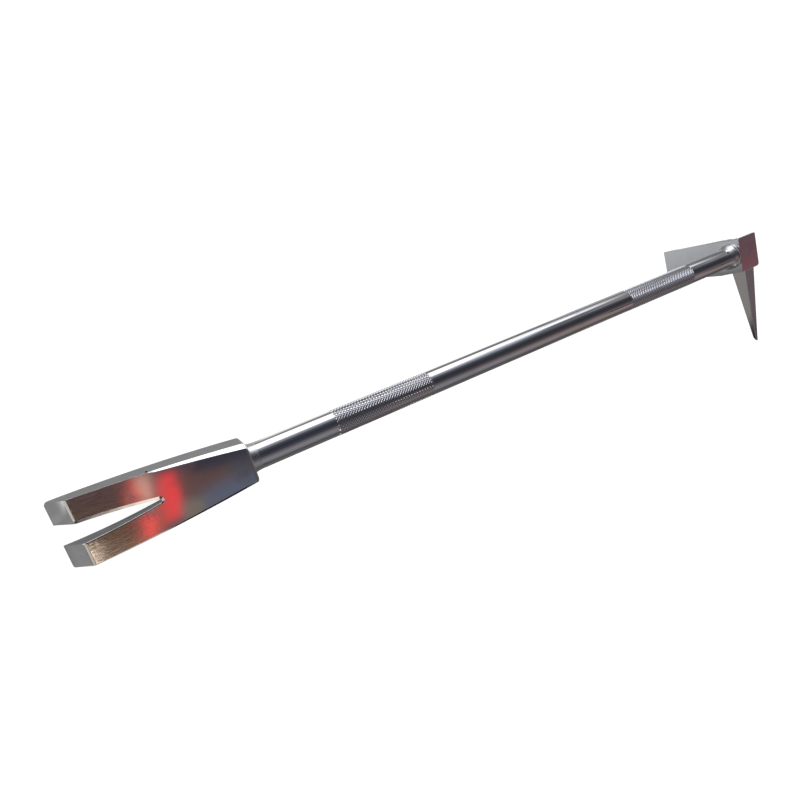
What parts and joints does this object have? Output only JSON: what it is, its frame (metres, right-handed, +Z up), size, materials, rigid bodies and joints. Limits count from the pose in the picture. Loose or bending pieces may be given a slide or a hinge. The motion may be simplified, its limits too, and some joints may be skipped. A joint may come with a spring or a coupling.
{
  "type": "forcible entry bar",
  "caption": "Chrome-plated forcible entry bar: a tapered fork at one end of a round shaft, and a head with a flat adze and a square pike at right angles at the other.",
  "frame": {"origin": "on the floor plane, under the middle of the bar's bounding box", "axes": "+X along the bar from the fork to the head, +Z up from the floor that the bar rests on with its adze pointing down, and the pike points along -Y"},
  "size_m": [0.8638, 0.155, 0.1109],
  "materials": {
    "fork_chrome": "polished, fine grinding marks and scratches near the tips",
    "shaft_chrome": "mirror polished, with two diamond-knurled grips",
    "head_chrome": "polished, with a satin adze face",
    "weld_chrome": "plated over, slightly uneven",
    "pin_steel": "ground ends, dull"
  },
  "bodies": {
    "root": {"fork": "fork_chrome", "shaft": "shaft_chrome", "head": "head_chrome", "fork_weld": "weld_chrome", "head_weld": "weld_chrome", "fork_pin_1": "pin_steel", "fork_pin_2": "pin_steel", "head_pin_1": "pin_steel", "head_pin_2": "pin_steel"}
  },
  "joints": []
}
